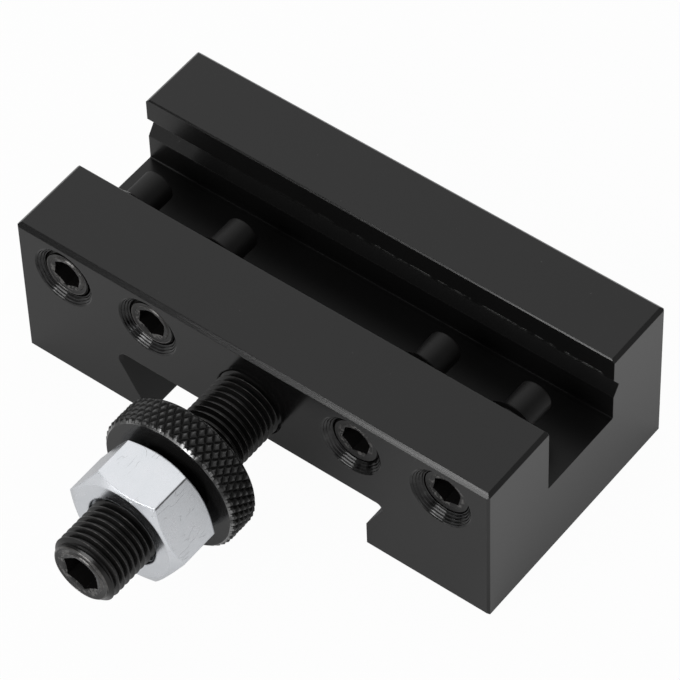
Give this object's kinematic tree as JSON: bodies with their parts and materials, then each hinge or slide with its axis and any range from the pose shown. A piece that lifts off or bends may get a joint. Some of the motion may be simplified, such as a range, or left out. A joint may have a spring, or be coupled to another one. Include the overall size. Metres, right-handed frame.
{
  "type": "lathe tool holder",
  "caption": "Quick-change lathe tool holder: a black steel block with a dovetail back, an open tool slot with clamp screws, and a height stud with knurled and hex nuts.",
  "frame": {"origin": "middle of the holder's length, on the bottom face that meets the tool post, at the screw face", "axes": "+X along the holder and its tool slot, +Y from the screw face to the far wall along the dovetail, +Z from the post face to the open side of the tool slot"},
  "size_m": [0.0762, 0.0721, 0.026],
  "materials": {
    "holder_black": "black oxide over fine ground and milled steel, satin",
    "screw_black": "black oxide on hardened screw steel, lightly oiled",
    "knurl_black": "black oxide, diamond knurled rim, crests a little worn",
    "zinc_bright": "bright zinc plate, slightly bluish, with handling marks"
  },
  "bodies": {
    "holder": {"holder_body": "holder_black", "height_stud": "screw_black"},
    "clamp_screw_1": {"clamp_screw_1": "screw_black"},
    "clamp_screw_2": {"clamp_screw_2": "screw_black"},
    "clamp_screw_3": {"clamp_screw_3": "screw_black"},
    "clamp_screw_4": {"clamp_screw_4": "screw_black"},
    "knurled_nut": {"knurled_nut": "knurl_black"},
    "lock_nut": {"lock_nut": "zinc_bright"}
  },
  "joints": [
    {"name": "clamp_screw_1_travel", "type": "slide", "parent": "holder", "child": "clamp_screw_1", "axis": [0, 1, 0], "range_m": [-0.00725, 0.0066]},
    {"name": "clamp_screw_2_travel", "type": "slide", "parent": "holder", "child": "clamp_screw_2", "axis": [0, 1, 0], "range_m": [-0.0074, 0.00645]},
    {"name": "clamp_screw_3_travel", "type": "slide", "parent": "holder", "child": "clamp_screw_3", "axis": [0, 1, 0], "range_m": [-0.00765, 0.0062]},
    {"name": "clamp_screw_4_travel", "type": "slide", "parent": "holder", "child": "clamp_screw_4", "axis": [0, 1, 0], "range_m": [-0.0079, 0.00595]},
    {"name": "knurled_nut_travel", "type": "slide", "parent": "holder", "child": "knurled_nut", "axis": [0, -1, 0], "range_m": [-0.0113, 0.004]},
    {"name": "lock_nut_travel", "type": "slide", "parent": "knurled_nut", "child": "lock_nut", "axis": [0, -1, 0], "range_m": [-0.0009, 0.004]}
  ]
}
